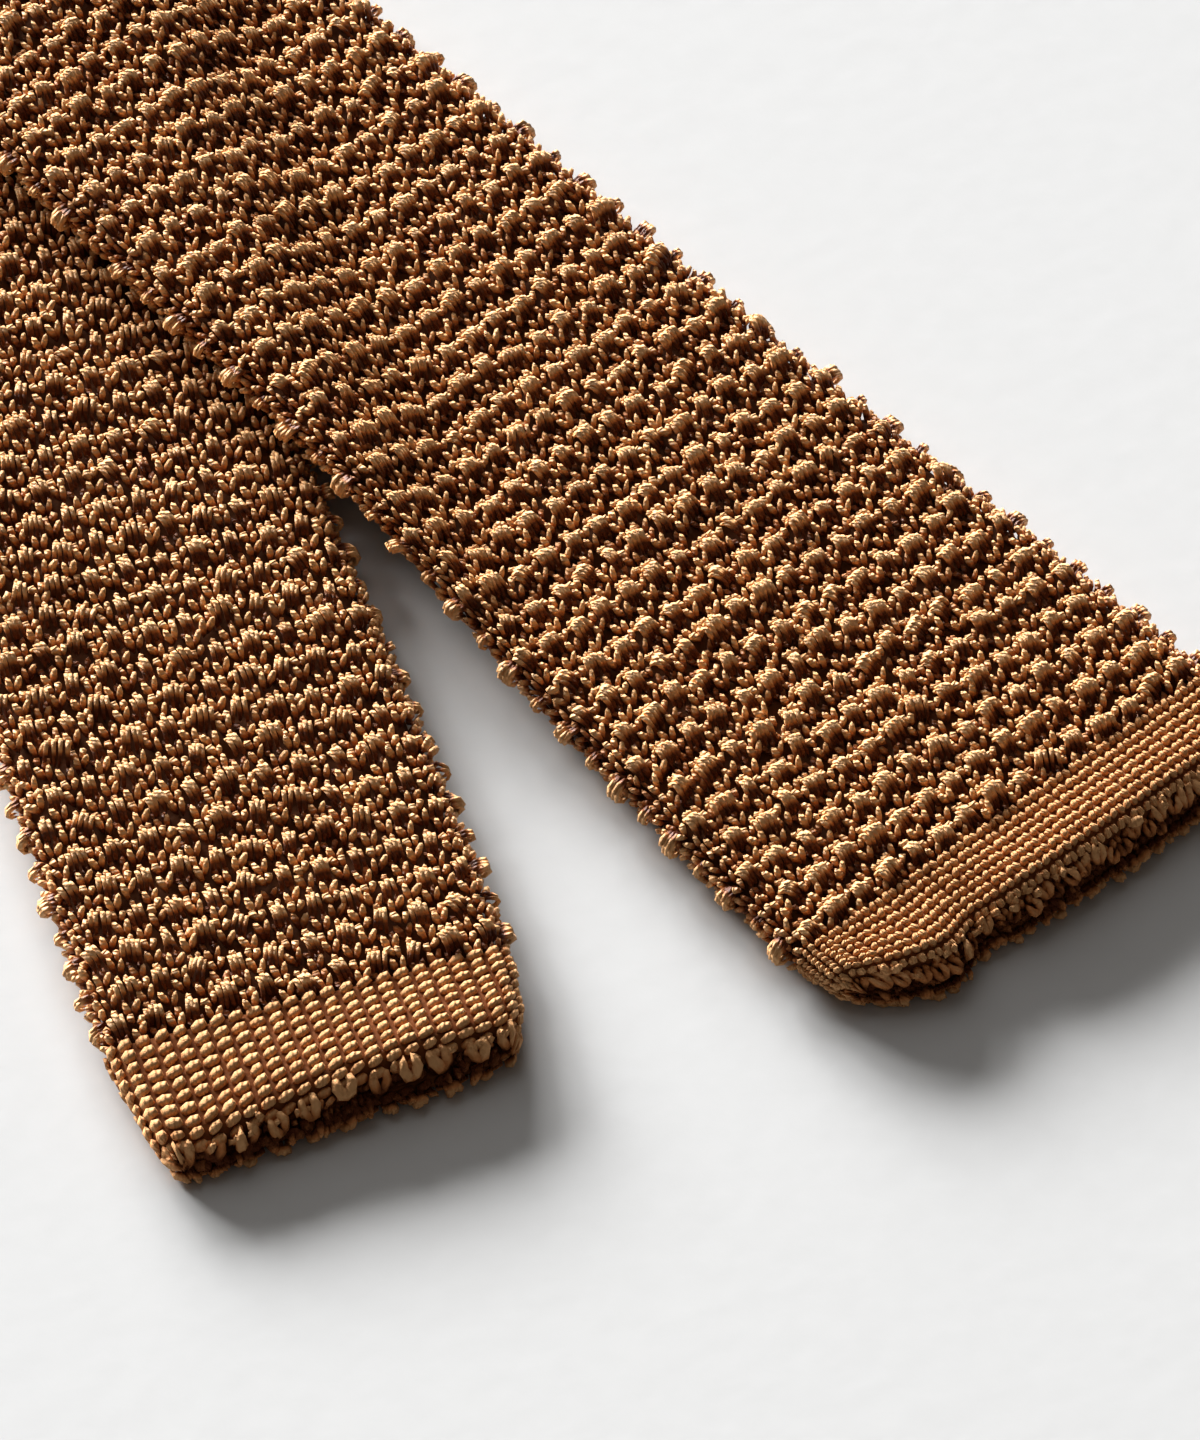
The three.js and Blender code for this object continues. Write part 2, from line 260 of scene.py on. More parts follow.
# %% A strand round a path
def strand(name, path, radii, sides, first_v=0.0):
    """A closed tube round a path, with a UV map: u round the yarn, v along it from first_v to first_v + 1."""
    path = np.array(path, float)
    ways = np.gradient(path, axis=0)
    ways /= np.linalg.norm(ways, axis=1)[:, None]
    thin = np.eye(3)[np.argmin(np.ptp(path, axis=0))]  # the axis along which the path spreads least
    beside = np.cross(ways, thin)
    beside /= np.linalg.norm(beside, axis=1)[:, None]
    other = np.cross(ways, beside)
    turns = (np.arange(sides) + 0.5) / sides * 2 * math.pi
    points = [path[0]]
    for centre, radius, a, b in zip(path[1:-1], radii, beside[1:-1], other[1:-1]):
        points += [centre + radius * (math.cos(t) * a + math.sin(t) * b) for t in turns]
    points.append(path[-1])
    rings, last = len(path) - 2, len(points) - 1
    faces, uvs = [], []
    for j in range(sides):
        k, left, right = (j + 1) % sides, j / sides, (j + 1) / sides
        faces.append((0, 1 + k, 1 + j))
        uvs += [((left + right) / 2, 0), (right, 1 / (rings + 1)), (left, 1 / (rings + 1))]
        for i in range(rings - 1):
            low, high = 1 + i * sides, 1 + (i + 1) * sides
            faces.append((low + j, low + k, high + k, high + j))
            low_v, high_v = (i + 1) / (rings + 1), (i + 2) / (rings + 1)
            uvs += [(left, low_v), (right, low_v), (right, high_v), (left, high_v)]
        high = 1 + (rings - 1) * sides
        faces.append((high + j, high + k, last))
        uvs += [(left, rings / (rings + 1)), (right, rings / (rings + 1)), ((left + right) / 2, 1)]
    mesh = bpy.data.meshes.new(name)
    mesh.from_pydata(points, [], faces)
    uv_map = mesh.uv_layers.new(name="UVMap")
    uv_map.data.foreach_set("uv", (np.array(uvs, float) + (0, first_v)).ravel())
    mesh.shade_smooth()
    return bpy.data.objects.new(name, mesh)


# The collection's order is alphabetical, so the number that starts a shape's name is its index
GRAIN, WRAP, LOBE, LOOP, FAR_GRAIN, FAR_WRAP, EAR = range(7)
WRAP_V = 1.0  # wraps have v from 1 to 2, so that the yarn's material can tell them from the rest and paint shade on their fronts
wrap_path = [(0, -1.4, -1.8), (0, -1.35, -1.0), (0, -1.1, -0.3), (0, -0.6, 0.25), (0, -0.1, 0.66),
             (0, 0.4, 0.7), (0, 0.82, 0.25), (0, 0.9, -0.6)]
far_wrap_path = [wrap_path[i] for i in (0, 2, 3, 5, 6, 7)]
grain_path = [(0, -0.5, -0.16), (0, -0.25, 0), (0, 0.22, 0.1), (0, 0.5, 0.06)]
far_grain_path = [(0, -0.5, -0.2), (0, 0.05, 0.05), (0, 0.5, -0.2)]
lobe_path = [(-0.9, -0.25, -0.4), (-0.62, -0.1, -0.05), (-0.1, 0.04, 0.1), (0.45, 0.06, 0.06),
             (0.8, -0.08, -0.3)]
loop_path = [(-0.4, 1.6, -0.9), (-0.75, 1.1, -0.2), (-0.88, 0.5, 0.15), (-0.5, -0.2, 0.3), (0, -0.5, 0.25),
             (0.5, -0.2, 0.3), (0.88, 0.5, 0.15), (0.75, 1.1, -0.2), (0.4, 1.6, -0.9)]
ear_path = [(0, -0.95, -0.7), (0, -0.55, -0.4), (0, 0.05, 0.0), (0, 0.6, 0.34), (0, 0.92, 0.36)]
yarn_shapes = bpy.data.collections.new("yarn shapes")
for made in (
    strand("0 grain", grain_path, (0.36, 0.5), 4),
    strand("1 wrap", wrap_path, (0.24, 0.28, 0.31, 0.34, 0.33, 0.27), 4, WRAP_V),
    strand("2 lobe", lobe_path, (0.42, 0.52, 0.45), 5),
    strand("3 loop", loop_path, (0.5, 0.66, 0.7, 0.64, 0.7, 0.66, 0.5), 6),
    strand("4 far grain", far_grain_path, (0.55,), 3),
    strand("5 far wrap", far_wrap_path, (0.4, 0.45, 0.46, 0.4), 3, WRAP_V),
    strand("6 ear", ear_path, (0.28, 0.42, 0.28), 4),
):
    yarn_shapes.objects.link(made)
    print(made.name, "faces:", len(made.data.polygons))

# %% [markdown]
# ## Planting the stitches
# A chart is a cloud of points on a flat sheet of millimetres. Each point names its yarn shape, how the shape
# is turned and how large it is. One Geometry Nodes tree plants the shapes on the points and adds the small
# disorder of real knitting. The flat result is then rolled on to the tie by moving each vertex with the rule
# above.


# %% The tree that plants yarn on a chart
STRAY_SEED, WOBBLE_SEED, UNEVEN_SEED = 11, 23, 37  # added to the seed that a piece is given


def planting_tree():
    """Yarn shapes on a chart's points, each shifted, turned, scaled and tinted a little at random."""
    tree = bpy.data.node_groups.new("plant yarn on a chart", "GeometryNodeTree")
    face = tree.interface
    face.new_socket("Geometry", in_out="INPUT", socket_type="NodeSocketGeometry")
    face.new_socket("Yarn shapes", in_out="INPUT", socket_type="NodeSocketCollection")
    for name, kind, value in (("Wobble", "NodeSocketFloat", 0.12), ("Stray", "NodeSocketFloat", 0.08),
                              ("Unevenness", "NodeSocketFloat", 0.1), ("Seed", "NodeSocketInt", 1)):
        face.new_socket(name, in_out="INPUT", socket_type=kind).default_value = value
    face.new_socket("Yarn", in_out="INPUT", socket_type="NodeSocketMaterial")
    face.new_socket("Geometry", in_out="OUTPUT", socket_type="NodeSocketGeometry")
    nodes, links = tree.nodes, tree.links
    given, result = nodes.new("NodeGroupInput"), nodes.new("NodeGroupOutput")

    def put(kind, inputs=(), **settings):
        node = nodes.new(kind)
        for key, value in settings.items():
            setattr(node, key, value)
        for key, value in dict(inputs).items():
            socket = node.inputs[key]
            if isinstance(value, bpy.types.NodeSocket):
                links.new(value, socket)
            else:
                socket.default_value = value
        return node

    def stored(name, kind):
        return put("GeometryNodeInputNamedAttribute", {"Name": name}, data_type=kind).outputs["Attribute"]

    def scatter(low, high, seed_offset):
        seed = put("FunctionNodeIntegerMath", {0: given.outputs["Seed"], 1: seed_offset}, operation="ADD")
        return put("FunctionNodeRandomValue", {0: (low,) * 3, 1: (high,) * 3, "Seed": seed.outputs[0]},
                   data_type="FLOAT_VECTOR").outputs[0]

    def vector(operation, a, b, socket=1):
        return put("ShaderNodeVectorMath", {0: a, socket: b}, operation=operation).outputs[0]

    stray = vector("SCALE", scatter(-1, 1, STRAY_SEED), given.outputs["Stray"], "Scale")
    moved = put("GeometryNodeSetPosition", {"Geometry": given.outputs["Geometry"], "Offset": stray})
    wobble = vector("SCALE", scatter(-1, 1, WOBBLE_SEED), given.outputs["Wobble"], "Scale")
    turn = put("FunctionNodeEulerToRotation", {0: vector("ADD", stored("turn", "FLOAT_VECTOR"), wobble)})
    uneven = vector("SCALE", scatter(-1, 1, UNEVEN_SEED), given.outputs["Unevenness"], "Scale")
    size = vector("MULTIPLY", stored("size", "FLOAT_VECTOR"), vector("ADD", uneven, (1.0, 1.0, 1.0)))
    shapes = put("GeometryNodeCollectionInfo", {"Collection": given.outputs["Yarn shapes"],
                                                "Separate Children": True, "Reset Children": True})
    planted = put("GeometryNodeInstanceOnPoints",
                  {"Points": moved.outputs["Geometry"], "Instance": shapes.outputs[0], "Pick Instance": True,
                   "Instance Index": stored("shape", "INT"), "Rotation": turn.outputs[0], "Scale": size})
    tint = put("FunctionNodeRandomValue", {2: 0.0, 3: 1.0, "Seed": given.outputs["Seed"]},
               data_type="FLOAT")
    tinted = put("GeometryNodeStoreNamedAttribute",
                 {"Geometry": planted.outputs[0], "Name": "tint", "Value": tint.outputs[1]},
                 data_type="FLOAT", domain="INSTANCE")
    real = put("GeometryNodeRealizeInstances", {"Geometry": tinted.outputs[0]})
    done = put("GeometryNodeSetMaterial", {"Geometry": real.outputs[0], "Material": given.outputs["Yarn"]})
    links.new(done.outputs[0], result.inputs[0])
    return tree


PLANTING = planting_tree()
SOCKETS = {item.name: item.identifier for item in PLANTING.interface.items_tree
           if item.in_out == "INPUT"}
print("inputs of the tree:", SOCKETS)


# %% Plant one chart and roll it on to the tie
LIP_SHADE, LIP_SHADE_LENGTH = 1.3, 1.5  # yarn past the end counts as deeper, so painted shade darkens the lips below


def triangles_of(mesh):
    return len(mesh.loops) - 2 * len(mesh.polygons)


def plant(name, chart, yarn, seed, wobble=0.12, stray=0.08, uneven=0.1):
    """A piece of knitting: the chart's yarn shapes, planted and rolled on to the tie, as one plain mesh."""
    q, s, h, shape, turn, size = chart
    points = bpy.data.meshes.new(name)
    points.vertices.add(len(q))
    points.vertices.foreach_set("co", np.column_stack([q, s, h]).ravel())
    for key, kind, field, number, values in (("shape", "INT", "value", np.int32, shape),
                                             ("turn", "FLOAT_VECTOR", "vector", np.float32, turn),
                                             ("size", "FLOAT_VECTOR", "vector", np.float32, size)):
        data = points.attributes.new(key, kind, "POINT").data
        data.foreach_set(field, np.ascontiguousarray(values, number).ravel())
    grower = bpy.data.objects.new(name + " chart", points)
    bpy.context.scene.collection.objects.link(grower)
    modifier = grower.modifiers.new("plant", "NODES")
    modifier.node_group = PLANTING
    for key, value in (("Yarn shapes", yarn_shapes), ("Wobble", wobble), ("Stray", stray),
                       ("Unevenness", uneven), ("Seed", seed), ("Yarn", yarn)):
        modifier[SOCKETS[key]] = value
    evaluated = grower.evaluated_get(bpy.context.evaluated_depsgraph_get())
    mesh = bpy.data.meshes.new_from_object(evaluated)
    bpy.data.objects.remove(grower)
    flat = np.zeros(len(mesh.vertices) * 3, np.float32)
    mesh.vertices.foreach_get("co", flat)
    flat = flat.reshape(-1, 3)
    laid = on_tie(flat[:, 0], flat[:, 1], flat[:, 2]) * MM
    mesh.vertices.foreach_set("co", laid.astype(np.float32).ravel())
    # painted shade: the shader darkens yarn by this depth, and yarn rolled past the end counts deeper still
    past_end = np.clip(np.maximum(-flat[:, 1], flat[:, 1] - TIE_LENGTH), 0, LIP_SHADE_LENGTH)
    depth = mesh.attributes.new("depth", "FLOAT", "POINT")
    depth.data.foreach_set("value", np.ascontiguousarray(flat[:, 2] - LIP_SHADE * past_end, np.float32))
    mesh.update()
    mesh.name = name
    piece = bpy.data.objects.new(name, mesh)
    bpy.context.scene.collection.objects.link(piece)
    print(name, "points:", len(q), "triangles:", triangles_of(mesh))
    return piece


# %% [markdown]
# ## Silk yarn, and the cloth between the stitches, with painted shade
# The tie is one colour of dull silk, caramel. The shader paints its tops lighter as painted highlight, and
# paints the yarn much darker where it dips into the knit, as painted shade. The shader reads how deep each bit
# of yarn lies, a small random tint for each strand, and the strand's own UV map. The map's v paints shade on
# the foot of a stitch and the front of a wrap, and both its values give the fine twist of the plies.


# %% Shader maths as expressions
class Wire:
    """A socket whose arithmetic adds Math nodes."""

    def __init__(self, finish, socket):
        self.finish, self.socket = finish, socket

    def math(self, operation, *others):
        return self.finish.node("ShaderNodeMath", {"operation": operation}, [self, *others])

    def __add__(self, other):
        return self.math("ADD", other)

    def __sub__(self, other):
        return self.math("SUBTRACT", other)

    def __mul__(self, other):
        return self.math("MULTIPLY", other)

    def __rsub__(self, other):
        return self.finish.node("ShaderNodeMath", {"operation": "SUBTRACT"}, [other, self])

    __radd__, __rmul__ = __add__, __mul__

    def clamped(self):
        return self.finish.node("ShaderNodeClamp", {}, [self])


class Finish:
    """A material under construction."""

    def __init__(self, name):
        self.material = bpy.data.materials.new(name)
        self.material.use_nodes = True
        self.tree = self.material.node_tree
        self.surface = self.tree.nodes["Principled BSDF"]

    def node(self, kind, settings, inputs, output=0):
        made = self.tree.nodes.new(kind)
        for key, value in settings.items():
            setattr(made, key, value)
        for key, value in inputs.items() if isinstance(inputs, dict) else enumerate(inputs):
            self.feed(made.inputs[key], value)
        return Wire(self, made.outputs[output])

    def feed(self, socket, value):
        if isinstance(value, Wire):
            self.tree.links.new(value.socket, socket)
        else:
            socket.default_value = value

    def mix(self, share, low, high):
        made = self.tree.nodes.new("ShaderNodeMix")
        made.data_type = "RGBA"
        for key, value in ((0, share), (6, low), (7, high)):
            self.feed(made.inputs[key], value)
        return Wire(self, made.outputs[2])

    def noise(self, scale, detail=2.0):
        place = self.node("ShaderNodeTexCoord", {}, {}, "Object")
        inputs = {"Vector": place, "Scale": scale, "Detail": detail}
        return self.node("ShaderNodeTexNoise", {}, inputs, "Fac")

    def attribute(self, name):
        return self.node("ShaderNodeAttribute", {"attribute_name": name}, {}, "Fac")

    def bumped(self, height, strength, distance):
        inputs = {"Strength": strength, "Distance": distance, "Height": height}
        self.fill({"Normal": self.node("ShaderNodeBump", {}, inputs, "Normal")})

    def fill(self, inputs):
        for key, value in inputs.items():
            self.feed(self.surface.inputs[key], value)


# %% Silk yarn
FOOT_END = 0.6  # the share of a strand over which painted shade darkens its foot or front side
TINT_SHARE, PATCH_SHARE = 0.22, 0.3  # how much each strand's own tint and small patches change its colour
PATCH_SCALE, FIBRE_SCALE = 900.0, 4500.0
TURNS_ROUND, TURNS_ALONG = 2, 5  # of the twisted plies


def silk(name, deep, middle, bright, low, high, roughness=0.5, gloss=0.25, foot=0.0, front=0.0):
    """Yarn painted from deep, a painted shade colour, through middle to bright, a painted highlight colour, as
    it rises from low to high millimetres.

    foot and front are how many millimetres deeper the first part of a stitch, or of a wrap, looks: painted
    shade on the feet of stitches and the fronts of wraps.
    """
    finish = Finish(name)
    uv = finish.node("ShaderNodeUVMap", {"uv_map": "UVMap"}, {}, "UV")
    around = finish.node("ShaderNodeSeparateXYZ", {}, [uv])
    along = Wire(finish, around.socket.node.outputs[1])
    wrapped = ((along - (WRAP_V + 0.02)) * 50).clamped()  # 1 on a wrap and 0 elsewhere
    # painted shade: the foot of each stitch and the front of each wrap count as deeper, so they take darker
    # colours
    height = finish.attribute("depth") - ((along * -1 + FOOT_END) * (1 / FOOT_END)).clamped() * foot
    height = height - ((along * -1 + (WRAP_V + FOOT_END)) * (1 / FOOT_END)).clamped() * wrapped * front
    rise = ((height - low) * (1 / (high - low))).clamped()
    tint = (finish.attribute("tint") - 0.5) * TINT_SHARE
    patch = (finish.noise(PATCH_SCALE) - 0.5) * PATCH_SHARE
    rise = (rise + tint + patch).clamped()
    # painted shade on the low yarn and painted highlight on the tops: the colour goes from deep through middle
    # to bright as the yarn rises
    colour = finish.mix((rise * 2).clamped(), (*deep, 1), (*middle, 1))
    colour = finish.mix((rise * 2 - 1).clamped(), colour, (*bright, 1))
    twist = ((around * TURNS_ROUND + along * TURNS_ALONG) * (2 * math.pi)).math("SINE")
    fibre = twist * 0.5 + finish.noise(FIBRE_SCALE)
    finish.bumped(fibre, 0.7, 0.0002)
    finish.fill({"Base Color": colour, "Roughness": roughness, "Specular IOR Level": gloss})
    return finish.material


# The first colour is painted shade, the second the yarn's own caramel, the third a painted highlight
PAINTED_SHADE, MIDDLE, PAINTED_HIGHLIGHT = (0.12, 0.030, 0.008), (0.50, 0.168, 0.046), (0.85, 0.465, 0.195)
# The two depths, in millimetres, are where a yarn's colour starts and stops rising from painted shade to
# painted highlight; coarse stitches lie deeper
bumpy_silk = silk("bumpy silk yarn", PAINTED_SHADE, MIDDLE, PAINTED_HIGHLIGHT, -1.1, 0.1, foot=1.0, front=3.2)
far_silk = silk("bumpy silk yarn, coarser", PAINTED_SHADE, MIDDLE, PAINTED_HIGHLIGHT, -1.5, -0.3, foot=0.2, front=1.2)
plain_silk = silk("plain silk yarn", PAINTED_SHADE, (0.60, 0.22, 0.068), (0.76, 0.40, 0.17), -1.1, 0.1,
                  roughness=0.62, gloss=0.1)


# %% The cloth behind the stitches, dark as painted shade
def shaded_cloth(name, dark, light):
    """Patchy cloth, dark as painted shade, seen only in the gaps between the stitches."""
    finish = Finish(name)
    patch = finish.noise(700.0, 3.0)
    finish.bumped(patch, 0.8, 0.0003)
    finish.fill({"Base Color": finish.mix(patch, (*dark, 1), (*light, 1)), "Roughness": 0.8,
                 "Specular IOR Level": 0.05})
    return finish.material


# Both cloths are dark as painted shade in the gaps between the stitches
dark_painted_shade_cloth = shaded_cloth("painted shade cloth behind the bumpy knit", (0.03, 0.009, 0.003), (0.11, 0.035, 0.010))
warm_painted_shade_cloth = shaded_cloth("painted shade cloth behind the plain bands", (0.12, 0.038, 0.012), (0.26, 0.085, 0.026))

# %% [markdown]
# ## The cloth shells
# Under the stitches each piece is a plain hollow tube of cloth with open ends, a little thinner than the
# solid it replaces. It closes the gaps between the stitches.


# %% A hollow shell of cloth
INNER_MARGIN = 1.0  # the inner face stops this far short of the tie's two ends


def shell(name, s_from, s_to, sunk, cloth, columns, step):
    """A closed double-walled tube from s_from to s_to, its outer face sunk under the solid's surface."""
    rows = int(math.ceil((s_to - s_from) / step)) + 1
    s = np.linspace(s_from, s_to, rows)
    share = (np.arange(columns) + 0.5) / columns * 2 - 1
    q = share[None, :] * half_round(np.clip(s, 0, TIE_LENGTH))[:, None]
    s_grid = np.repeat(s[:, None], columns, axis=1)
    outside = on_tie(q.ravel(), s_grid.ravel(), np.full(q.size, -sunk))
    kept = np.clip(s_grid, INNER_MARGIN, TIE_LENGTH - INNER_MARGIN)
    inside = on_tie(q.ravel(), kept.ravel(), np.full(q.size, -WALL), lip=False)
    inner = rows * columns  # the first vertex of the inner face
    here = np.arange(columns)
    beyond = (here + 1) % columns
    start = np.arange(rows - 1)[:, None] * columns
    corners = [start + here, start + beyond, start + columns + beyond, start + columns + here]
    out_faces = np.stack(corners, -1).reshape(-1, 4)
    in_faces = np.stack([corners[i] for i in (0, 3, 2, 1)], -1).reshape(-1, 4) + inner
    end = (rows - 1) * columns
    first_rim = np.stack([here, inner + here, inner + beyond, beyond], -1)
    last_rim = np.stack([end + here, end + beyond, inner + end + beyond, inner + end + here], -1)
    mesh = bpy.data.meshes.new(name)
    faces = np.vstack([out_faces, in_faces, first_rim, last_rim])
    mesh.from_pydata(np.vstack([outside, inside]) * MM, [], faces)
    mesh.shade_smooth()
    mesh.materials.append(cloth)
    piece = bpy.data.objects.new(name, mesh)
    bpy.context.scene.collection.objects.link(piece)
    return piece


HALF_GAP = PIECE_GAP / 2
NECK_START, NECK_END, TAIL_BAND = BLADE_LENGTH, TIE_LENGTH - TAIL_LENGTH, TIE_LENGTH - TAIL_HEM
BUMPY_SUNK, PLAIN_SUNK = 1.4, 0.55
LIP_OVERHANG = 2.2  # cloth past the end, which the lip rolls over
# Each shell: from, to, how far it is sunk, its cloth, columns round it, and the step along it
SHELLS = {
    "front_hem_cloth": (-LIP_OVERHANG, BLADE_HEM - HALF_GAP, PLAIN_SUNK, warm_painted_shade_cloth, 90, 0.75),
    "front_cloth": (BLADE_HEM + HALF_GAP, NECK_START - HALF_GAP, BUMPY_SUNK, dark_painted_shade_cloth, 56, 5),
    "neck_cloth": (NECK_START + HALF_GAP, NECK_END - HALF_GAP, BUMPY_SUNK, dark_painted_shade_cloth, 36, 6),
    "tail_cloth": (NECK_END + HALF_GAP, TAIL_BAND - HALF_GAP, BUMPY_SUNK, dark_painted_shade_cloth, 52, 5),
    "tail_hem_cloth": (TAIL_BAND + HALF_GAP, TIE_LENGTH + LIP_OVERHANG, PLAIN_SUNK, warm_painted_shade_cloth, 76, 0.75),
}
shells = {name: shell(name, *row) for name, row in SHELLS.items()}
print("shells:", {name: len(piece.data.polygons) for name, piece in shells.items()})

# %% [markdown]
# ## The bumpy knit
# Four columns of stitches and two rows make the pattern. In each row a wide bundle of threads and a narrow
# one stand two columns apart, and the next row is moved over by one column and back again. Plain V stitches
# fill the rest, and a hollow, dark with real and painted shade, is left in front of each bundle. Both folded
# edges carry a knob of yarn in every row.

# %% Rows and columns of the knit
# Distance along the tie, and the pitch of the rows there
ROW_PITCHES = [(11, 4.6), (60, 5.0), (130, 5.25), (1100, 5.0), (1330, 4.8), (1457, 4.7)]
BLADE_COLUMN, TAIL_COLUMN = 1.97, 2.08  # pitch of the columns at the two wide ends
HEM_MARGIN = 2.4  # from a band to the first row of bundles
FINE_BLADE, FINE_TAIL = 240.0, 1318.0  # between these the stitches are drawn with fewer faces


def row_pitch(s):
    return np.interp(s, *zip(*ROW_PITCHES))


def column_pitch(s):
    blade = BLADE_COLUMN * np.sqrt(width_at(s) / BLADE_WIDTH)
    tail = TAIL_COLUMN * np.sqrt(width_at(s) / TAIL_WIDTH)
    return blade + (tail - blade) * smoothstep((s - NECK_START) / (NECK_END - NECK_START))


def rows_between(first, last):
    """Rows from one place on the tie to another, their pitch scaled a little so that they come out even."""
    s = np.linspace(first, last, 4000)
    counted = np.concatenate([[0], np.cumsum(np.diff(s) / row_pitch((s[1:] + s[:-1]) / 2))])
    whole = round(counted[-1])
    return np.interp(np.arange(whole + 1) * counted[-1] / whole, counted, s)


ROWS = rows_between(BLADE_HEM + HEM_MARGIN, TAIL_BAND - HEM_MARGIN)
across = int(BLADE_WIDTH / column_pitch(np.array([0.0]))[0])
print("rows:", len(ROWS), "columns across the blade's top:", across)


# %% A chart, and one row of the bumpy knit
class Chart:
    """Points for the planting tree, gathered in lists."""

    def __init__(self):
        self.parts = []

    def add(self, q, s, h, shape, turn, size):
        q, s, h = np.broadcast_arrays(np.asarray(q, float), s, h)
        turn = np.broadcast_to(np.asarray(turn, float), (q.size, 3))
        size = np.broadcast_to(np.asarray(size, float), (q.size, 3))
        self.parts.append((q.ravel(), s.ravel(), h.ravel(), np.full(q.size, shape), turn, size))

    def done(self):
        return [np.concatenate(column) for column in zip(*self.parts)]


USUAL_COLUMN = 1.95  # the column pitch at which yarn shapes keep the size that they are drawn in
FOLD_MARGIN = 1.3  # columns further than this past the flat top lie on a folded edge
UNDERSIDE_SHARE = 0.8  # of the half turn round a folded edge, after which the underside begins


class Row:
    """One row of the bumpy knit: its place, its pitches and which of its columns lie where."""

    def __init__(self, number):
        self.number, self.s = number, ROWS[number]
        here = np.array([self.s])
        self.pitch, self.column = float(row_pitch(self.s)), float(column_pitch(here)[0])
        self.size = self.column / USUAL_COLUMN
        self.at_blade = self.s < TIE_LENGTH / 2
        # the direction away from the nearer end, and the way that the stitches face
        self.away, self.facing = (1.0, 0.0) if self.at_blade else (-1.0, math.pi)
        self.fine = self.s < FINE_BLADE or self.s > FINE_TAIL
        self.grain, self.wrap = (GRAIN, WRAP) if self.fine else (FAR_GRAIN, FAR_WRAP)
        self.flat = float(width_at(here)[0]) / 2 - FOLD
        half_count = int(float(half_round(here)[0]) / self.column)
        columns = np.arange(-half_count, half_count + 1)
        self.q = columns * self.column
        self.place = (columns - number % 2) % 4  # in the pattern of four columns
        self.below = np.abs(self.q) > self.flat + UNDERSIDE_SHARE * math.pi * FOLD
        self.on_fold = np.abs(self.q) > self.flat + FOLD_MARGIN


# %% The chart of the bumpy knit
BLADE_VEE_DEPTH, TAIL_VEE_DEPTH, FOLD_VEE_DEPTH = -0.42, -0.3, 0.15  # the last is added on a folded edge
LEG_SPREAD, LEG_ANGLE = 0.45, 0.46  # of the two legs of a V stitch
# Each bundle: its place in the pattern, its threads, the gap between them, and their height
BLADE_BUNDLES = ((0, 5, 0.52, 1.0), (2, 4, 0.46, 0.88))
TAIL_BUNDLES = ((0, 4, 0.54, 0.8), (2, 3, 0.52, 0.7))
BUNDLE_DISORDER = (0.22, 0.35, 0.22, 0.14)  # of a bundle's lean, place, height and width
HOLLOW_PLACE, HOLLOW_DEPTH = 0.36, -1.15  # the place in front of a bundle is a share of the row's pitch
BUMP_PLACE, BUMP_DEPTH = 1.35, 0.25  # of the small bumps behind a bundle's ridge
# Each knob on a folded edge: the places of its wraps along the edge, and their size
LARGE_KNOB = ((-1.05, -0.35, 0.35, 1.05), (1.0, 1.0, 1.3))
SMALL_KNOB = ((-0.4, 0.4), (0.85, 0.8, 0.95))
KNOB_SHARE = 0.42  # of the half turn round a folded edge, where the knobs sit


def add_vees(chart, chance, row):
    """V stitches between the bundles, and all round the folded edges."""
    courses = 3 if row.fine else 2
    shown = ((row.place % 2 == 1) | row.on_fold) & ~row.below
    count = int(shown.sum())
    depth = BLADE_VEE_DEPTH if row.at_blade else TAIL_VEE_DEPTH
    for course in range(courses):
        off = ((course + 0.5) / courses - 0.5) * row.pitch
        lift = depth + chance.normal(0, 0.2, count) - FOLD_VEE_DEPTH * row.on_fold[shown]
        sway = chance.normal(0, 0.22, count)
        if not row.fine:
            shape, size = FAR_GRAIN, (0.9 * row.size, 2.4, 0.9)
        elif course == 1:
            shape, size = GRAIN, (0.95 * row.size, 0.34 * row.pitch, 1.3)
        else:
            shape, size = EAR, (1.1 * row.size, 0.22 * row.pitch, 1.25)
        for leg in (-1, 1):
            turn = np.column_stack([chance.normal(0.12, 0.14, count), np.zeros(count),
                                    row.facing - leg * LEG_ANGLE + sway])
            chart.add(row.q[shown] + row.away * leg * LEG_SPREAD * row.size,
                      row.s + row.away * off + chance.normal(0, 0.2, count), lift, shape, turn, size)


def add_underside(chart, row):
    """Coarse stitches on the side that lies on the table."""
    for leg in (-1, 1):
        chart.add(row.q[row.below] + leg * LEG_SPREAD * row.size, row.s, -0.3, FAR_GRAIN,
                  (0, 0, math.pi - leg * 0.2), (0.9 * row.size, row.pitch * 0.9, 1.2))


